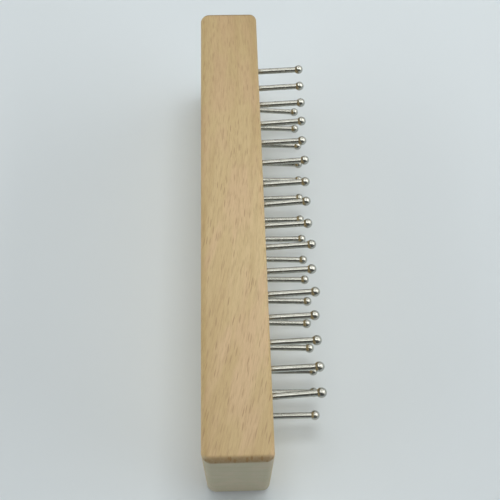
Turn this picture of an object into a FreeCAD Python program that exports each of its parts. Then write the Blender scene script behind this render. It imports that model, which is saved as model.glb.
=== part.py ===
import FreeCAD, Part
import math
import os

# Pin block brush: one beech block with two rows of ball-tipped metal pins pressed into its front face.
# The block stands on a long narrow side. X runs through its thickness, with the pins pointing along +X,
# Y runs along its length and Z is up. The origin is the centre of the face that it stands on.
# Lengths are in millimetres and angles in degrees.

# Block
BLOCK_THICKNESS = 20.0
BLOCK_LENGTH = 160.0
BLOCK_HEIGHT = 46.0
BACK_CORNER_ROUND = 3.0  # upright corners on the back face
FRONT_CORNER_ROUND = 2.4  # upright corners on the front face
EDGE_ROUND = 2.1  # all round the top and the bottom face

# Rows of pins
PINS_PER_ROW = 16
FAR_END_MARGIN = 17.5  # from the +Y end of the block to the first hole's mark
NEAR_END_MARGIN = 21.0  # from the -Y end to the last hole's mark
ROW_SPACING = 24.0  # between the two rows, even about the block's mid-height
ROW_SPLAY = 4.0  # the rows tilt apart, each by this angle

# Pin: a wire with a ball headed on its outer end
PIN_DIAMETER = 2.0
PIN_EMBEDMENT = 10.0  # length of wire inside the block
PIN_END_CHAMFER = 0.2
BALL_DIAMETER = 3.1
BALL_REACH = 14.8  # from the front face to the ball's centre, along the pin
NECK_ROUND = 0.35  # hollow rounding between wire and ball

# Hole: blind, and drilled a little deeper than the pin goes
PRESS_CLEARANCE = 0.0  # per side: the wire is pressed into a hole of its own size
HOLE_END_GAP = 0.5
DRILL_POINT_ANGLE = 118.0
HOLE_MOUTH_CHAMFER = 0.25
DRILL_OVERRUN = 1.0  # how far the cutting tool starts outside the front face

# The pins are set by hand. These go along each row from its +Y end: how far a hole is off its mark
# along Y, how much further its ball reaches, and how many degrees the pin leans towards +Y.
ROWS = {
    "upper": {
        "side": 1,
        "hole_offset": (-0.8, -0.4, 0.3, 0.1, 0.2, 0, -0.5, -0.2, -0.1, 0.1, -0.3, -0.3, 0.1, 0.1, -0.1, -0.3),
        "extra_reach": (0.2, 0.1, 0.1, -0.1, -0.4, 0, -0.3, -0.5, -0.5, 0.2, -0.3, 0.3, -0.4, -0.3, -0.1, 0),
        "lean": (-0.5, 0, 0, 1, 0, 1, 1, 2, 0.5, 1, 0, 1, 0.5, 0.5, 0.5, 2),
    },
    "lower": {
        "side": -1,
        "hole_offset": (0.4, -0.1, 0.1, -0.2, 0.2, 0.2, -0.7, -0.4, -0.2, 0, 0, 0, -0.7, -0.8, 0, 0.3),
        "extra_reach": (0.3, 0, 0.7, 0.5, 0.2, 0, -0.3, -0.2, -0.2, -0.1, 0.3, -0.4, 0, 0.7, 0.4, 0.3),
        "lean": (-2, 0, 0, 0, 1.5, 3, 2.5, 1.5, -0.5, 0, -0.5, -1, -1, 0, 0, 1),
    },
}

# Worked out from the sizes above
FRONT_FACE_X = BLOCK_THICKNESS / 2
PIN_PITCH = (BLOCK_LENGTH - FAR_END_MARGIN - NEAR_END_MARGIN) / (PINS_PER_ROW - 1)
WIRE_RADIUS = PIN_DIAMETER / 2
BALL_RADIUS = BALL_DIAMETER / 2
HOLE_RADIUS = WIRE_RADIUS + PRESS_CLEARANCE
HOLE_DEPTH = PIN_EMBEDMENT + HOLE_END_GAP


def point(along, radius):
    """A point of an outline that is turned about the X axis."""
    return FreeCAD.Vector(along, radius, 0)


def arc(start, centre, radius, middle_angle, end):
    """An arc edge from start to end about centre, passing through the given angle."""
    turn = math.radians(middle_angle)
    middle = centre + FreeCAD.Vector(radius * math.cos(turn), radius * math.sin(turn), 0)
    return Part.Arc(start, middle, end).toShape()


def turned(edges):
    """The solid that a closed outline sweeps when it is turned about the X axis."""
    face = Part.Face(Part.Wire(edges))
    return face.revolve(FreeCAD.Vector(0, 0, 0), FreeCAD.Vector(1, 0, 0), 360)


def polyline(points):
    """Straight edges from each point to the next."""
    return [Part.LineSegment(a, b).toShape() for a, b in zip(points, points[1:])]


def make_block():
    """The block before drilling: upright corners rounded first, then the top and bottom edges."""
    corner = FreeCAD.Vector(-BLOCK_THICKNESS / 2, -BLOCK_LENGTH / 2, 0)
    block = Part.makeBox(BLOCK_THICKNESS, BLOCK_LENGTH, BLOCK_HEIGHT, corner)
    for side, radius in ((-1, BACK_CORNER_ROUND), (1, FRONT_CORNER_ROUND)):
        uprights = [
            edge for edge in block.Edges
            if edge.BoundBox.XLength < 1e-6 and edge.BoundBox.YLength < 1e-6
            and abs(edge.BoundBox.Center.x - side * BLOCK_THICKNESS / 2) < 1e-6
        ]
        block = block.makeFillet(radius, uprights)
    rims = [edge for edge in block.Edges if edge.BoundBox.ZLength < 1e-6]
    return block.makeFillet(EDGE_ROUND, rims)


def make_pin(extra_reach):
    """One pin along +X, with the front face's plane at X = 0."""
    ball_centre = point(BALL_REACH + extra_reach, 0)
    neck_back = math.sqrt((BALL_RADIUS + NECK_ROUND) ** 2 - (WIRE_RADIUS + NECK_ROUND) ** 2)
    neck_centre = ball_centre + FreeCAD.Vector(-neck_back, WIRE_RADIUS + NECK_ROUND, 0)
    neck_start = point(neck_centre.x, WIRE_RADIUS)
    ball_start = ball_centre + (neck_centre - ball_centre) * (BALL_RADIUS / (BALL_RADIUS + NECK_ROUND))
    ball_end = point(ball_centre.x + BALL_RADIUS, 0)
    shank = polyline([
        ball_end,
        point(-PIN_EMBEDMENT, 0),
        point(-PIN_EMBEDMENT, WIRE_RADIUS - PIN_END_CHAMFER),
        point(-PIN_EMBEDMENT + PIN_END_CHAMFER, WIRE_RADIUS),
        neck_start,
    ])
    toward_ball = math.degrees(math.atan2(ball_start.y - neck_centre.y, ball_start.x - neck_centre.x))
    neck = arc(neck_start, neck_centre, NECK_ROUND, (toward_ball - 90) / 2, ball_start)
    ball = arc(ball_start, ball_centre, BALL_RADIUS, 90, ball_end)
    return turned(shank + [neck, ball])


def make_drill():
    """The shape that one hole removes: mouth chamfer, bore and drill point, along +X like the pin."""
    flare = HOLE_MOUTH_CHAMFER + DRILL_OVERRUN
    point_length = HOLE_RADIUS / math.tan(math.radians(DRILL_POINT_ANGLE / 2))
    outline = [
        point(DRILL_OVERRUN, 0),
        point(-HOLE_DEPTH - point_length, 0),
        point(-HOLE_DEPTH, HOLE_RADIUS),
        point(-HOLE_MOUTH_CHAMFER, HOLE_RADIUS),
        point(DRILL_OVERRUN, HOLE_RADIUS + flare),
    ]
    return turned(polyline(outline + outline[:1]))


def pin_place(row, index):
    """Where a pin and its hole go: on the front face, tilted with the row and leaning along it."""
    mark = BLOCK_LENGTH / 2 - FAR_END_MARGIN - index * PIN_PITCH
    foot = FreeCAD.Vector(
        FRONT_FACE_X,
        mark + hand_set(row, "hole_offset", index),
        BLOCK_HEIGHT / 2 + row["side"] * ROW_SPACING / 2,
    )
    tilt = FreeCAD.Rotation(FreeCAD.Vector(0, 1, 0), -row["side"] * ROW_SPLAY)
    lean = FreeCAD.Rotation(FreeCAD.Vector(0, 0, 1), hand_set(row, "lean", index))
    return FreeCAD.Placement(foot, lean.multiply(tilt))


def hand_set(row, what, index):
    """A row's hand-set value for one pin. A longer row starts its list again."""
    values = row[what]
    return values[index % len(values)]


def main():
    """Builds the drilled block and its pins, and writes each as its own file."""
    os.makedirs("parts", exist_ok=True)
    drill = make_drill()
    holes = []
    for name, row in ROWS.items():
        for index in range(PINS_PER_ROW):
            place = pin_place(row, index)
            pin = make_pin(hand_set(row, "extra_reach", index))
            pin.Placement = place
            pin.exportStep(f"parts/pin_{name}_{index + 1:02d}.step")
            hole = drill.copy()
            hole.Placement = place
            holes.append(hole)
    block = make_block().cut(holes)
    block.exportStep("parts/block.step")
    print(f"pins {2 * PINS_PER_ROW}, pitch {PIN_PITCH:.2f}, block volume {block.Volume / 1000:.1f} cm3")


main()
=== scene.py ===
"""Looks of a pin block brush: a solid beech block with two rows of ball-tipped, nickel-plated pins.

The row frame is in metres: X through the block's thickness, with the pins pointing along +X, Y along its
length and Z up. Wood and metal patterns are laid out in millimetres of that same frame.
"""

import logging
import math
from dataclasses import dataclass, field
from enum import Enum
from typing import Union

import bmesh
import bpy
import numpy as np
from mathutils import Matrix, Vector, noise


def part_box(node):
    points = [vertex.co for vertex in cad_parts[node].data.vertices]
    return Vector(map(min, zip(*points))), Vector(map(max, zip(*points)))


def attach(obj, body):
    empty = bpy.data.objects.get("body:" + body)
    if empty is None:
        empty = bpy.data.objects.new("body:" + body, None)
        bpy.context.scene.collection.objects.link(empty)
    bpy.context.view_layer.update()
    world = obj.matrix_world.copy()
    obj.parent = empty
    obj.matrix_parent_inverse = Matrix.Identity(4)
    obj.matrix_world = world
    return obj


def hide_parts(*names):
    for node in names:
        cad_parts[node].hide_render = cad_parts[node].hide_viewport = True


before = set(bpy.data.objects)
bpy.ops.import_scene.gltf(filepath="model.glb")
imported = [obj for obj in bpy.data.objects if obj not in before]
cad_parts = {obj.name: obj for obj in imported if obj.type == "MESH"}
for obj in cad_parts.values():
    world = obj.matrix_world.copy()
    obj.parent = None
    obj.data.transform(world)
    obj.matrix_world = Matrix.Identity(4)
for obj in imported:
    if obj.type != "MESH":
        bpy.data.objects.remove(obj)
log = logging.getLogger("pin_block_brush")

MM = 0.001
BODY = "root"

Number = Union[int, float]
Colour = tuple[float, float, float]


# ---------------------------------------------------------------- shader building


class Sock:
    """An output socket of a shader node. Arithmetic on it adds Math nodes to the same tree."""

    def __init__(self, tree: "ShaderTree", socket: bpy.types.NodeSocket) -> None:
        """Keeps the tree and the socket."""
        self.tree = tree
        self.socket = socket

    def maths(self, operation: str, *values: Union["Sock", Number]) -> "Sock":
        """Adds one Math node.

        Args:
            operation: the Math node's operation.
            values: its inputs, in order.

        Returns:
            The node's value.
        """
        return self.tree.node("ShaderNodeMath", {"operation": operation}, dict(enumerate(values)))

    def __add__(self, other: Union["Sock", Number]) -> "Sock":
        """This value plus another."""
        return self.maths("ADD", self, other)

    def __radd__(self, other: Number) -> "Sock":
        """A number plus this value."""
        return self.maths("ADD", other, self)

    def __sub__(self, other: Union["Sock", Number]) -> "Sock":
        """This value minus another."""
        return self.maths("SUBTRACT", self, other)

    def __rsub__(self, other: Number) -> "Sock":
        """A number minus this value."""
        return self.maths("SUBTRACT", other, self)

    def __mul__(self, other: Union["Sock", Number]) -> "Sock":
        """This value times another."""
        return self.maths("MULTIPLY", self, other)

    def __rmul__(self, other: Number) -> "Sock":
        """A number times this value."""
        return self.maths("MULTIPLY", other, self)

    def __truediv__(self, other: Union["Sock", Number]) -> "Sock":
        """This value divided by another."""
        return self.maths("DIVIDE", self, other)

    def __pow__(self, other: Union["Sock", Number]) -> "Sock":
        """This value to a power."""
        return self.maths("POWER", self, other)

    def __abs__(self) -> "Sock":
        """This value without its sign."""
        return self.maths("ABSOLUTE", self)

    def rising(self, low: Number, high: Number) -> "Sock":
        """A smooth step of this value.

        Args:
            low: where the step starts, at 0.
            high: where it ends, at 1.

        Returns:
            The step, from 0 to 1.
        """
        settings = {"interpolation_type": "SMOOTHSTEP"}
        inputs = {"Value": self, "From Min": low, "From Max": high, "To Min": 0.0, "To Max": 1.0}
        return self.tree.node("ShaderNodeMapRange", settings, inputs)

    def falling(self, low: Number, high: Number) -> "Sock":
        """A smooth step of this value that goes from 1 at low to 0 at high."""
        return 1 - self.rising(low, high)


class ShaderTree:
    """A material under construction."""

    def __init__(self, name: str) -> None:
        """Starts an empty node material of that name."""
        self.material = bpy.data.materials.new(name)
        self.material.use_nodes = True
        self.material.node_tree.nodes.clear()

    def node(
        self,
        kind: str,
        settings: dict[str, object],
        inputs: dict[Union[str, int], object],
        output: Union[str, int] = 0,
    ) -> Sock:
        """Adds one node.

        Args:
            kind: the node's type.
            settings: its properties, set before its sockets.
            inputs: values or links for its sockets, by name or by number.
            output: which of its outputs is wanted.

        Returns:
            That output.
        """
        made = self.material.node_tree.nodes.new(kind)
        for name, value in settings.items():
            setattr(made, name, value)
        for key, value in inputs.items():
            if isinstance(value, Sock):
                self.material.node_tree.links.new(value.socket, made.inputs[key])
            else:
                made.inputs[key].default_value = value
        return Sock(self, made.outputs[output])

    def other(self, sock: Sock, output: Union[str, int]) -> Sock:
        """Another output of the node that a socket belongs to."""
        return Sock(self, sock.socket.node.outputs[output])

    def place_mm(self) -> Sock:
        """The point being shaded, in millimetres of the row frame."""
        place = self.node("ShaderNodeTexCoord", {}, {}, "Object")
        return self.scaled(place, 1 / MM)

    def scaled(self, vector: Sock, factor: Union[Sock, Number]) -> Sock:
        """A vector times a number."""
        return self.node("ShaderNodeVectorMath", {"operation": "SCALE"}, {0: vector, "Scale": factor})

    def axes(self, vector: Sock) -> tuple[Sock, Sock, Sock]:
        """A vector's three parts."""
        first = self.node("ShaderNodeSeparateXYZ", {}, {0: vector})
        return first, self.other(first, 1), self.other(first, 2)

    def vector(self, x: Union[Sock, Number], y: Union[Sock, Number], z: Union[Sock, Number]) -> Sock:
        """A vector from three numbers."""
        return self.node("ShaderNodeCombineXYZ", {}, {0: x, 1: y, 2: z})

    def clouds(self, at: Sock, detail: float = 2.0, roughness: float = 0.5, kinks: float = 0.0) -> Sock:
        """Smooth noise.

        Args:
            at: where to read it, with the size of one cloud as the unit.
            detail: how many finer octaves it has.
            roughness: how strong those are.
            kinks: how much it is distorted.

        Returns:
            The noise, mostly between 0.3 and 0.7.
        """
        inputs = {"Vector": at, "Scale": 1.0, "Detail": detail, "Roughness": roughness, "Distortion": kinks}
        return self.node("ShaderNodeTexNoise", {}, inputs)

    def cells(self, at: Sock) -> tuple[Sock, Sock]:
        """Scattered cell centres.

        Args:
            at: where to read them, with the distance between two centres as the unit.

        Returns:
            The distance to the nearest centre, and a random number of that centre's own.
        """
        near = self.node("ShaderNodeTexVoronoi", {"feature": "F1"}, {"Vector": at, "Scale": 1.0})
        return near, self.axes(self.other(near, "Color"))[0]

    def mix(self, share: Union[Sock, Number], first: object, second: object, how: str = "MIX") -> Sock:
        """Blends two colours.

        Args:
            share: how much of the second colour.
            first: a colour or a socket.
            second: a colour or a socket.
            how: the blend mode.

        Returns:
            The blended colour.
        """
        made = self.material.node_tree.nodes.new("ShaderNodeMix")
        made.data_type = "RGBA"
        made.blend_type = how
        named = {"Factor": share, "A": first, "B": second}
        for name, value in named.items():
            wanted = "VALUE" if name == "Factor" else "RGBA"
            socket = next(s for s in made.inputs if s.name == name and s.type == wanted)
            if isinstance(value, Sock):
                self.material.node_tree.links.new(value.socket, socket)
            else:
                socket.default_value = value if name == "Factor" else (*value, 1.0)
        return Sock(self, next(s for s in made.outputs if s.type == "RGBA"))

    def bump(self, height_mm: Sock, strength: float) -> Sock:
        """A surface normal from a relief.

        Args:
            height_mm: the relief's height in millimetres.
            strength: how much of it shows, from 0 to 1.

        Returns:
            The normal.
        """
        return self.node("ShaderNodeBump", {}, {"Strength": strength, "Distance": MM, "Height": height_mm})

    def finish(self, values: dict[str, object]) -> bpy.types.Material:
        """Adds the surface shader and its output.

        Args:
            values: values or links for the surface shader's sockets.

        Returns:
            The finished material.
        """
        shader = self.node("ShaderNodeBsdfPrincipled", {}, values)
        output = self.material.node_tree.nodes.new("ShaderNodeOutputMaterial")
        self.material.node_tree.links.new(shader.socket, output.inputs["Surface"])
        return self.material


# ---------------------------------------------------------------- finishes


@dataclass(frozen=True)
class BeechFinish:
    """Fine-sanded European beech, with its rays as dashes on the top face. Sizes are in millimetres.

    The colour carries painted shade along the block: it is a little darker at its far end, its back edge and
    its near end.
    """

    pale: Colour = (0.598, 0.467, 0.249)
    tan: Colour = (0.514, 0.384, 0.188)
    pink: Colour = (0.602, 0.436, 0.255)
    fleck: Colour = (0.300, 0.190, 0.085)
    # the colour that the painted shade multiplies into the wood
    painted_shade_colour: Colour = (0.835, 0.815, 0.755)
    end_grain: Colour = (0.360, 0.345, 0.245)
    end_blush: Colour = (0.415, 0.362, 0.270)
    # a dark brown, for the darker rims where the rounded edges cross the end grain and for the end grain's
    # pores and late wood
    dark_brown: Colour = (0.235, 0.150, 0.062)
    fleck_spacing: tuple[float, float, float] = (0.60, 6.4, 9.0)
    fleck_reach: float = 0.31
    grain_lean: float = 0.11
    grain_bow: float = 0.0009
    ring_width: float = 2.7
    pith: tuple[float, float] = (-7.0, -42.0)
    # where the painted shade darkens the far end, the back edge and the near end
    far_painted_shade: tuple[float, float] = (-20.0, 75.0)
    back_painted_shade: tuple[float, float] = (-11.0, -3.0)
    near_painted_shade: tuple[float, float] = (-80.0, -50.0)
    end_turn: tuple[float, float] = (0.2, 0.65)
    roughness: float = 0.58
    sheen: float = 0.35

    def material(self, half_length: float, height: float, edge_round: float) -> bpy.types.Material:
        """Makes the wood.

        Args:
            half_length: from the block's middle to its end, in millimetres.
            height: the block's height, in millimetres.
            edge_round: the radius of its top and bottom edges, in millimetres.

        Returns:
            The material.
        """
        tree = ShaderTree("beech")
        x, y, z = tree.axes(tree.place_mm())
        across = x - y * self.grain_lean + y * y * self.grain_bow
        facing = tree.axes(tree.node("ShaderNodeNewGeometry", {}, {}, "True Normal"))
        flecks, fleck_relief = self._flecks(tree, across, y, z)
        fleck_share = abs(facing[2]).rising(0.2, 0.8) * 0.62 + 0.18
        fibre = tree.clouds(tree.vector(across / 0.16, y / 3.2, z / 0.16), 2.0, 0.6)
        bundles = tree.clouds(tree.vector(across / 0.55, y / 5.0, z / 0.55), 3.0, 0.65)
        rings = self._rings(tree, x, y, z)
        streaks = tree.clouds(tree.vector(across / 2.4, y / 70, z / 2.4), 3.0, 0.55, 0.3)
        patches = tree.clouds(tree.vector(across / 5.5, y / 26, z / 5.5), 2.0)

        colour = tree.mix((streaks * 0.75 + rings * 0.25).rising(0.32, 0.68), self.tan, self.pale)
        colour = tree.mix(patches.rising(0.45, 0.65) * 0.75, colour, self.pink)
        # painted shade: the wood is darkened towards its far end, its back edge and its near end
        painted_shade = y.rising(*self.far_painted_shade) + x.falling(*self.back_painted_shade) * 0.6
        painted_shade = painted_shade + y.falling(*self.near_painted_shade) * 0.35
        colour = tree.mix(painted_shade, colour, self.painted_shade_colour, "MULTIPLY")
        colour = tree.mix(bundles.rising(0.46, 0.72) * 0.30, colour, self.fleck)
        colour = tree.mix(fibre.rising(0.35, 0.75) * 0.26, colour, self.fleck)
        colour = tree.mix(flecks * fleck_share, colour, self.fleck)
        end = self._end_grain(tree, (x, y, z), rings)
        colour = tree.mix(abs(facing[1]).rising(*self.end_turn) * 0.95, colour, end)
        # darker, browner colour where the rounded edges cross the end grain
        rim_darkening = self._rim_darkening(tree, (x, y, z), half_length, height, edge_round)
        colour = tree.mix(rim_darkening, colour, self.dark_brown)

        relief = fibre * 0.012 - fleck_relief * 0.02
        return tree.finish({
            "Base Color": colour,
            "Roughness": self.roughness + (fibre - 0.5) * 0.2 - flecks * 0.06,
            "Specular IOR Level": self.sheen,
            "Normal": tree.bump(relief, 0.6),
        })

    def _flecks(self, tree: ShaderTree, across: Sock, y: Sock, z: Sock) -> tuple[Sock, Sock]:
        """The wood rays, cut into short dark dashes.

        Args:
            tree: the material.
            across: place across the grain.
            y: place along the grain.
            z: place along the rays.

        Returns:
            How dark each point is, and how deep, from 0 to 1.
        """
        wide, long, tall = self.fleck_spacing
        bend = (tree.clouds(tree.vector(across / 3, y / 9, z / 9)) - 0.5) * 0.9
        near, lot = tree.cells(tree.vector((across + bend) / wide, y / long, z / tall))
        inside = near.falling(self.fleck_reach * 0.45, self.fleck_reach)
        return inside * (lot * 0.75 + 0.25), inside

    def _rings(self, tree: ShaderTree, x: Sock, y: Sock, z: Sock) -> Sock:
        """Growth rings about a pith line below the block.

        Args:
            tree: the material.
            x: place through the block's thickness.
            y: place along it.
            z: height.

        Returns:
            The rings, pale to dark and back, from 0 to 1.
        """
        wander = (tree.clouds(tree.vector(x / 9, y / 60, z / 9)) - 0.5) * 3.2
        side = x - self.pith[0] + wander
        up = z - self.pith[1] + y * 0.03
        ring = (side * side + up * up) ** 0.5 / self.ring_width
        return ring.maths("PINGPONG", ring, 1.0)

    def _end_grain(self, tree: ShaderTree, place: tuple[Sock, Sock, Sock], rings: Sock) -> Sock:
        """The sawn end's colour: greyer than the sides, with open pores and the rings' late wood.

        Args:
            tree: the material.
            place: the point being shaded.
            rings: the growth rings.

        Returns:
            The colour.
        """
        x, y, z = place
        blush = tree.clouds(tree.vector(x / 6, y / 6, z / 6), 2.0).rising(0.42, 0.66)
        pores = tree.clouds(tree.vector(x / 0.3, y / 2, z / 0.3), 2.0, 0.6).rising(0.5, 0.75)
        colour = tree.mix(blush * 0.6, self.end_grain, self.end_blush)
        colour = tree.mix(pores * 0.3, colour, self.dark_brown)
        return tree.mix(rings.rising(0.7, 1.0) * 0.12, colour, self.dark_brown)

    def _rim_darkening(
        self,
        tree: ShaderTree,
        place: tuple[Sock, Sock, Sock],
        half_length: float,
        height: float,
        edge_round: float,
    ) -> Sock:
        """Darker, browner colour where the rounded edges cross the end grain, at both ends and both rims.

        Args:
            tree: the material.
            place: the point being shaded.
            half_length: from the block's middle to its end.
            height: the block's height.
            edge_round: the radius of the edges.

        Returns:
            The share of brown, from 0 to 1.
        """
        x, y, z = place
        to_end = abs(y) - (half_length - edge_round)
        to_rim = abs(z - height / 2) - (height / 2 - edge_round)
        both = to_end.rising(edge_round * 0.05, edge_round * 0.6) * to_rim.rising(0.0, edge_round * 0.35)
        blotch = tree.clouds(tree.vector(x / 0.9, y / 0.9, z / 0.9), 2.0)
        spots = tree.cells(tree.vector(x / 1.1, y * 0.35, z * 0.35))[0].falling(0.12, 0.38)
        return both * (0.48 + blotch * 0.6 + spots * 0.5)


@dataclass(frozen=True)
class NickelFinish:
    """Bright nickel plate over drawn wire, a little uneven, with a duller film in places. Sizes in mm."""

    bright: Colour = (0.455, 0.462, 0.420)
    dull: Colour = (0.330, 0.335, 0.295)
    roughness: float = 0.20
    waviness: float = 0.022
    ripple_size: tuple[float, float] = (0.75, 0.5)
    film_size: tuple[float, float] = (2.6, 1.1)

    def material(self) -> bpy.types.Material:
        """Makes the metal.

        Returns:
            The material.
        """
        tree = ShaderTree("nickel_plated_steel")
        x, y, z = tree.axes(tree.place_mm())
        long, wide = self.ripple_size
        ripples = tree.clouds(tree.vector(x / long, y / wide, z / wide), 2.0, 0.55)
        long, wide = self.film_size
        film = tree.clouds(tree.vector(x / long, y / wide, z / wide), 3.0, 0.6)
        colour = tree.mix(film.rising(0.45, 0.75) * 0.6, self.bright, self.dull)
        return tree.finish({
            "Base Color": colour,
            "Metallic": 1.0,
            "Roughness": self.roughness + film.rising(0.4, 0.8) * 0.12,
            "Normal": tree.bump(ripples * self.waviness, 0.8),
        })


@dataclass(frozen=True)
class TableFinish:
    """A plain, pale, faintly blue matt table top."""

    colour: Colour = (0.690, 0.765, 0.810)
    cloud: Colour = (0.62, 0.66, 0.67)
    cloud_share: float = 0.04
    cloud_size: float = 40.0
    roughness: float = 0.75

    def material(self) -> bpy.types.Material:
        """Makes the table top.

        Returns:
            The material.
        """
        tree = ShaderTree("pale_table")
        tone = tree.clouds(tree.scaled(tree.place_mm(), 1 / self.cloud_size), 2.0).rising(0.3, 0.7)
        colour = tree.mix(tone * self.cloud_share, self.colour, self.cloud)
        return tree.finish({"Base Color": colour, "Roughness": self.roughness, "Specular IOR Level": 0.3})


# ---------------------------------------------------------------- meshes


def new_piece(name: str, mesh: bpy.types.Mesh, material: bpy.types.Material) -> bpy.types.Object:
    """Puts a mesh into the scene.

    Args:
        name: the piece's name.
        mesh: its shape.
        material: its finish.

    Returns:
        The new object.
    """
    piece = bpy.data.objects.new(name, mesh)
    bpy.context.scene.collection.objects.link(piece)
    mesh.materials.clear()
    mesh.materials.append(material)
    return piece


def lathe(
    name: str, rings: list[list[Vector]], first: Vector, last: Vector, place: Matrix
) -> bpy.types.Mesh:
    """Makes a closed turned shape from rings of points.

    Args:
        name: the mesh's name.
        rings: rings of equally many points, from one end to the other.
        first: the point that closes the first ring.
        last: the point that closes the last ring.
        place: where the shape goes in the row frame.

    Returns:
        The mesh.
    """
    count = len(rings[0])
    points = [point for ring in rings for point in ring] + [first, last]
    faces = []
    for start in range(0, (len(rings) - 1) * count, count):
        for i in range(count):
            j = (i + 1) % count
            faces.append((start + i, start + j, start + count + j, start + count + i))
    end = (len(rings) - 1) * count
    for i in range(count):
        j = (i + 1) % count
        faces.append((len(points) - 2, j, i))
        faces.append((end + i, end + j, len(points) - 1))
    mesh = bpy.data.meshes.new(name)
    mesh.from_pydata([place @ point for point in points], [], faces)
    made = bmesh.new()
    made.from_mesh(mesh)
    bmesh.ops.recalc_face_normals(made, faces=made.faces)
    made.to_mesh(mesh)
    made.free()
    mesh.shade_smooth()
    return mesh


def ring_at(along: float, radius: float, count: int) -> list[Vector]:
    """A plain ring of points about the X axis."""
    turns = [2 * math.pi * i / count for i in range(count)]
    return [Vector((along, radius * math.cos(t), radius * math.sin(t))) for t in turns]


@dataclass(frozen=True)
class PinAxis:
    """Where a packed pin lies: the middle of its inner end, its direction and its length."""

    inner: Vector
    direction: Vector
    length: float

    @classmethod
    def of_node(cls, node: bpy.types.Object) -> "PinAxis":
        """Reads a pin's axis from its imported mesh.

        Args:
            node: the pin's CAD node.

        Returns:
            The axis, pointing out of the block.
        """
        points = np.array([v.co for v in node.data.vertices], float)
        points = np.unique(np.round(points, 7), axis=0)
        middle = points.mean(axis=0)
        direction = np.linalg.svd(points - middle, full_matrices=False)[2][0]
        direction = direction * np.sign(direction[0])
        along = (points - middle) @ direction
        inner = Vector(middle + direction * along.min())
        return cls(inner, Vector(direction), float(along.max() - along.min()))

    def place(self, start: float) -> Matrix:
        """A frame on the axis.

        Args:
            start: how far from the inner end its origin is.

        Returns:
            The frame, with X along the pin and Z as near to up as it can be.
        """
        side = Vector((0, 0, 1)).cross(self.direction).normalized()
        up = self.direction.cross(side)
        turn = Matrix((self.direction, side, up)).transposed().to_4x4()
        return Matrix.Translation(self.inner + self.direction * start) @ turn


class Row(Enum):
    """The two rows of pins, by the word in their nodes' names."""

    UPPER = "upper"
    LOWER = "lower"

    def nodes(self) -> list[str]:
        """The names of the row's CAD nodes, in order."""
        return sorted(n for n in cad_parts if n.startswith(f"pin_{self.value}_"))


# ---------------------------------------------------------------- the brush's pieces


@dataclass
class BallPin:
    """One pin: drawn wire with a ball headed on its end. It stands for the CAD node of the same number."""

    node: str
    seed: int
    wire_radius: float = 1.0 * MM
    ball_radius: float = 1.55 * MM
    neck_round: float = 0.35 * MM
    end_chamfer: float = 0.2 * MM
    embedment: float = 10 * MM
    ring_gap: float = 0.22 * MM
    around: int = 36
    neck_steps: int = 6
    ball_steps: int = 22
    unevenness: float = 0.004
    lump_length: float = 1.1 * MM
    lump_width: float = 0.9 * MM
    lump_seed_step: float = 7.3
    grip_mark_at: float = 4.1 * MM
    grip_mark_width: float = 0.35 * MM
    grip_mark_depth: float = 0.035
    axis: PinAxis = field(init=False)

    def __post_init__(self) -> None:
        """Finds where the pin lies."""
        self.axis = PinAxis.of_node(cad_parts[self.node])

    def outline(self) -> list[tuple[float, float]]:
        """The pin's outline.

        Returns:
            Pairs of distance from the inner end and radius, without the tip.
        """
        wire, ball, neck = self.wire_radius, self.ball_radius, self.neck_round
        centre = self.axis.length - ball
        neck_centre = centre - math.sqrt((ball + neck) ** 2 - (wire + neck) ** 2)
        points = [(0.0, wire - self.end_chamfer), (self.end_chamfer, wire)]
        steps = max(2, round((neck_centre - self.end_chamfer) / self.ring_gap))
        for i in range(1, steps + 1):
            points.append((self.end_chamfer + (neck_centre - self.end_chamfer) * i / steps, wire))
        meets = math.atan2(centre - neck_centre, wire + neck)
        for i in range(1, self.neck_steps + 1):
            turn = meets * i / self.neck_steps
            points.append((neck_centre + neck * math.sin(turn), wire + neck - neck * math.cos(turn)))
        for i in range(1, self.ball_steps):
            turn = (math.pi / 2 + meets) * i / self.ball_steps - meets
            points.append((centre + ball * math.sin(turn), ball * math.cos(turn)))
        return points

    def ring(self, along: float, radius: float) -> list[Vector]:
        """One ring of the pin, with the small unevenness of its plating.

        Args:
            along: distance from the inner end.
            radius: the outline's radius there.

        Returns:
            The ring's points.
        """
        points = []
        from_face = along - self.embedment
        grip = math.exp(-(((from_face - self.grip_mark_at) / self.grip_mark_width) ** 2))
        drift = self.lump_seed_step * self.seed
        for point in ring_at(along, radius, self.around):
            across, up = point.y / self.lump_width, point.z / self.lump_width
            spot = Vector((along / self.lump_length, across, up + drift))
            lumps = noise.noise(spot) * self.unevenness if from_face > 0 else -self.unevenness
            dent = self.grip_mark_depth * grip * max(0.0, noise.noise(spot * 0.7 + Vector((0, 5, 0))) + 0.35)
            scale = 1 + lumps - dent
            points.append(Vector((point.x, point.y * scale, point.z * scale)))
        return points

    def build(self, metal: bpy.types.Material) -> bpy.types.Object:
        """Makes the pin and puts it in place of its CAD node.

        Args:
            metal: its finish.

        Returns:
            The pin.
        """
        rings = [self.ring(along, radius) for along, radius in self.outline()]
        tip = Vector((self.axis.length, 0, 0))
        mesh = lathe(self.node + "_plated", rings, Vector((0, 0, 0)), tip, self.axis.place(0))
        pin = new_piece(self.node + "_plated", mesh, metal)
        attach(pin, BODY)
        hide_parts(self.node)
        return pin


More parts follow.
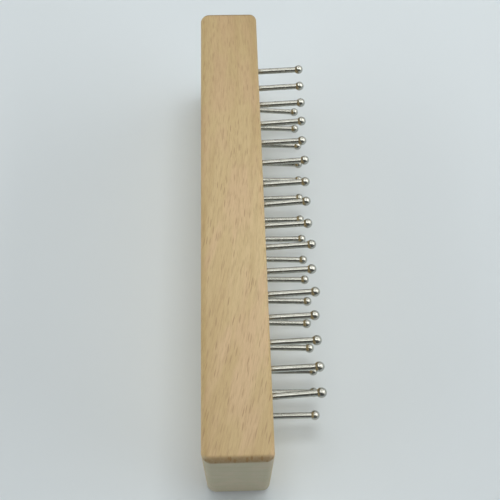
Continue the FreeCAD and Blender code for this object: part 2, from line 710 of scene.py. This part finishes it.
@dataclass
class BeechBlock:
    """The wooden block, with hand-sanded roundings and one blind hole for each pin."""

    node: str = "block"
    back_corner: float = 3.0 * MM
    front_corner: float = 2.4 * MM
    edge_round: float = 2.1 * MM
    sanding: float = 0.07
    flat_margin: float = 0.45 * MM
    arc_steps: int = 10
    side_gap: float = 8 * MM
    hole_radius: float = 1.02 * MM
    hole_depth: float = 10.5 * MM
    drill_point: float = 0.6 * MM
    mouth_chamfer: float = 0.25 * MM
    drill_overrun: float = 1 * MM
    hole_sides: int = 32
    sanding_patch: float = 17 * MM
    crease_angle: float = 30.0

    def __post_init__(self) -> None:
        """Reads the block's size from its CAD node."""
        self.low, self.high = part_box(self.node)

    def outline(self) -> list[tuple[Vector, Vector, bool]]:
        """The block seen from above.

        Returns:
            Each point, its outward direction and whether it is on a flat, counter-clockwise from the -Y end.
        """
        corners = [
            (self.low.x, self.low.y, self.back_corner, 180),
            (self.high.x, self.low.y, self.front_corner, 270),
            (self.high.x, self.high.y, self.front_corner, 0),
            (self.low.x, self.high.y, self.back_corner, 90),
        ]
        arcs = []
        for x, y, radius, start in corners:
            centre = Vector((x - math.copysign(radius, x), y - math.copysign(radius, y), 0))
            arc = []
            for i in range(self.arc_steps + 1):
                turn = math.radians(start + 90 * i / self.arc_steps)
                out = Vector((math.cos(turn), math.sin(turn), 0))
                arc.append((centre + out * radius, out, False))
            arcs.append(arc)
        points = []
        for arc, following in zip(arcs, arcs[1:] + arcs[:1]):
            points += arc
            points += self._straight(arc[-1][0], following[0][0], arc[-1][1])
        return points

    def _straight(self, first: Vector, last: Vector, out: Vector) -> list[tuple[Vector, Vector, bool]]:
        """Points along a straight side, with one close to each end so that the flat stays flat.

        Args:
            first: the side's first point.
            last: its last point.
            out: its outward direction.

        Returns:
            The points between the two, as the outline has them.
        """
        run = last - first
        inner = run.length - 2 * self.flat_margin
        count = max(1, round(inner / self.side_gap))
        places = [self.flat_margin + inner * i / count for i in range(count + 1)]
        return [(first + run.normalized() * place, out, True) for place in places]

    def levels(self, edge: float, margin: float) -> list[tuple[float, float]]:
        """The block's side seen from the end.

        Args:
            edge: the rounding's radius at this point of the outline.
            margin: how far inside the rounding the flat's first loop lies.

        Returns:
            Pairs of distance in from the outline and height, from the bottom face to the top face.
        """
        turns = [math.pi / 2 * i / self.arc_steps for i in range(self.arc_steps + 1)]
        arc = [(edge * (1 - math.sin(t)), edge * (1 - math.cos(t))) for t in turns]
        lower = [(edge + margin, 0.0)] + arc + [(0.0, edge + self.flat_margin)]
        height = self.high.z - self.low.z
        return lower + [(inset, height - up) for inset, up in reversed(lower)]

    def blank(self) -> bpy.types.Mesh:
        """The block before drilling.

        Returns:
            Its mesh.
        """
        made = bmesh.new()
        columns = []
        for point, out, flat in self.outline():
            touch = noise.noise(Vector((point.x, point.y, 0)) / self.sanding_patch + Vector((3.1, 0, 0)))
            edge = self.edge_round * (1 + self.sanding * touch)
            margin = self.flat_margin if flat else 0.3 * (self.front_corner - edge)
            columns.append([
                made.verts.new(point - out * inset + Vector((0, 0, self.low.z + height)))
                for inset, height in self.levels(edge, margin)
            ])
        for left, right in zip(columns, columns[1:] + columns[:1]):
            for i in range(len(left) - 1):
                made.faces.new((left[i], right[i], right[i + 1], left[i + 1]))
        made.faces.new([column[0] for column in reversed(columns)])
        made.faces.new([column[-1] for column in columns])
        mesh = bpy.data.meshes.new("block_blank")
        made.to_mesh(mesh)
        made.free()
        return mesh

    def drills(self, axes: list[PinAxis], embedment: float) -> bpy.types.Mesh:
        """All the holes as one mesh.

        Args:
            axes: the pins' axes.
            embedment: how deep the pins go.

        Returns:
            The mesh that is cut out of the blank.
        """
        joined = bmesh.new()
        for axis in axes:
            flared = self.hole_radius + self.mouth_chamfer + self.drill_overrun
            rings = [
                ring_at(-self.hole_depth, self.hole_radius, self.hole_sides),
                ring_at(-self.mouth_chamfer, self.hole_radius, self.hole_sides),
                ring_at(self.drill_overrun, flared, self.hole_sides),
            ]
            deepest = Vector((-self.hole_depth - self.drill_point, 0, 0))
            top = Vector((self.drill_overrun, 0, 0))
            hole = lathe("hole", rings, deepest, top, axis.place(embedment))
            joined.from_mesh(hole)
            bpy.data.meshes.remove(hole)
        mesh = bpy.data.meshes.new("drills")
        joined.to_mesh(mesh)
        joined.free()
        return mesh

    def build(self, wood: bpy.types.Material, pins: list[BallPin]) -> bpy.types.Object:
        """Makes the drilled block and puts it in place of its CAD node.

        Args:
            wood: its finish.
            pins: the pins that it holds.

        Returns:
            The block.
        """
        block = new_piece("beech_block", self.blank(), wood)
        cutter = new_piece("drills", self.drills([p.axis for p in pins], pins[0].embedment), wood)
        cut = block.modifiers.new("holes", "BOOLEAN")
        cut.operation = "DIFFERENCE"
        cut.solver = "EXACT"
        cut.object = cutter
        drilled = bpy.data.meshes.new_from_object(block.evaluated_get(bpy.context.evaluated_depsgraph_get()))
        block.modifiers.clear()
        block.data = drilled
        bpy.data.objects.remove(cutter)
        drilled.name = "beech_block"
        drilled.shade_smooth()
        drilled.set_sharp_from_angle(angle=math.radians(self.crease_angle))
        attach(block, BODY)
        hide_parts(self.node)
        return block


# ---------------------------------------------------------------- studio


class LightUse(Enum):
    """What a lamp does: it lights matt surfaces, or it is what shiny ones mirror."""

    LIT = "lit"
    MIRRORED = "mirrored"


@dataclass(frozen=True)
class SoftLight:
    """A large flat lamp."""

    name: str
    use: LightUse
    centre: tuple[float, float, float]
    aim: tuple[float, float, float]
    size: tuple[float, float]
    glow: float
    colour: Colour = (1.0, 0.985, 0.955)

    def build(self) -> None:
        """Makes the lamp."""
        lamp = bpy.data.lights.new(self.name, "AREA")
        lamp.shape = "RECTANGLE"
        lamp.size, lamp.size_y = self.size
        lamp.energy = self.glow * math.pi * self.size[0] * self.size[1]
        lamp.color = self.colour
        piece = bpy.data.objects.new(self.name, lamp)
        piece.location = self.centre
        piece.rotation_euler = Vector(self.aim).to_track_quat("-Z", "Y").to_euler()
        piece.visible_diffuse = self.use is LightUse.LIT
        piece.visible_glossy = self.use is LightUse.MIRRORED
        bpy.context.scene.collection.objects.link(piece)


@dataclass(frozen=True)
class Studio:
    """A pale table under large soft lamps in a dim room."""

    table_size: float = 6.0
    table_drop: float = 0.05 * MM
    room_colour: Colour = (0.12, 0.12, 0.12)
    lamps: tuple[SoftLight, ...] = (
        SoftLight("ceiling", LightUse.LIT, (0.05, 0.16, 0.7), (0, 0, -1), (0.4, 0.4), 5.25),
        SoftLight("right_lamp", LightUse.LIT, (0.75, 0, 0.36), (-0.9, 0, -0.43), (1.2, 0.3), 3.2),
        SoftLight("left_wall", LightUse.LIT, (-0.8, 0, 0.15), (1, 0, 0), (1.2, 0.28), 1.7),
        SoftLight("left_lamp", LightUse.LIT, (-0.75, 0, 0.36), (0.9, 0, -0.43), (1.2, 0.3), 1.9),
        SoftLight("near_wall", LightUse.LIT, (0, -0.8, 0.15), (0, 1, 0), (1.2, 0.28), 1.2),
        SoftLight("overhead_panel", LightUse.MIRRORED, (0.2, 0.3, 0.7), (0, 0, -1), (1.4, 1.1), 1.7),
        SoftLight("inner_panel", LightUse.MIRRORED, (0.2, 0.02, 0.69), (0, 0, -1), (1.2, 0.28), 1.5),
        SoftLight("side_panel", LightUse.MIRRORED, (0.65, -0.3, 0.6), (0, 0, -1), (0.6, 0.5), 0.9),
        SoftLight("right_panel", LightUse.MIRRORED, (0.9, 0.05, 0.45), (-1, 0, 0), (1.3, 0.5), 1.6),
        SoftLight("far_panel", LightUse.MIRRORED, (0.2, 0.9, 0.36), (0, -1, 0), (1.4, 0.6), 0.5),
    )

    def build(self) -> None:
        """Makes the table, the lamps and the room's own light."""
        mesh = bpy.data.meshes.new("table")
        half = self.table_size / 2
        corners = [(-half, -half), (half, -half), (half, half), (-half, half)]
        mesh.from_pydata([(x, y, -self.table_drop) for x, y in corners], [], [(0, 1, 2, 3)])
        new_piece("table", mesh, TableFinish().material())
        for lamp in self.lamps:
            lamp.build()
        world = bpy.data.worlds.new("room")
        world.use_nodes = True
        back = next(n for n in world.node_tree.nodes if n.type == "BACKGROUND")
        back.inputs["Color"].default_value = (*self.room_colour, 1.0)
        bpy.context.scene.world = world
        bpy.context.scene.view_settings.view_transform = "Standard"


@dataclass(frozen=True)
class Viewpoint:
    """The camera: close above the block's near end, looking down along it."""

    location: tuple[float, float, float] = (-0.45 * MM, -123.1 * MM, 253.3 * MM)
    turn: tuple[float, float, float] = (27.19, -0.65, -1.67)
    focal_length: float = 55.17
    sensor_width: float = 36.0

    def build(self) -> None:
        """Makes the camera and hands it to the scene."""
        camera = bpy.data.cameras.new("camera")
        camera.lens = self.focal_length
        camera.sensor_width = self.sensor_width
        camera.clip_start = 10 * MM
        piece = bpy.data.objects.new("camera", camera)
        piece.location = self.location
        piece.rotation_euler = [math.radians(angle) for angle in self.turn]
        bpy.context.scene.collection.objects.link(piece)
        bpy.context.scene.camera = piece


# ---------------------------------------------------------------- putting it together


@dataclass
class PinBlockBrush:
    """The whole brush."""

    block: BeechBlock = field(default_factory=BeechBlock)

    def build(self) -> list[bpy.types.Object]:
        """Builds every piece of the brush.

        Returns:
            The pieces.
        """
        metal = NickelFinish().material()
        nodes = [node for row in Row for node in row.nodes()]
        pins = [BallPin(node, seed) for seed, node in enumerate(nodes)]
        made = [pin.build(metal) for pin in pins]
        half_length = self.block.high.y / MM
        height = (self.block.high.z - self.block.low.z) / MM
        wood = BeechFinish().material(half_length, height, self.block.edge_round / MM)
        return made + [self.block.build(wood, pins)]


def main() -> None:
    """Builds the brush, the studio and the camera."""
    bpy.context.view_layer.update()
    for piece in PinBlockBrush().build():
        log.info("built %s with %d faces", piece.name, len(piece.data.polygons))
    Studio().build()
    Viewpoint().build()


if __name__ == "__main__":
    logging.basicConfig(level=logging.INFO, format="%(name)s: %(message)s")
    main()
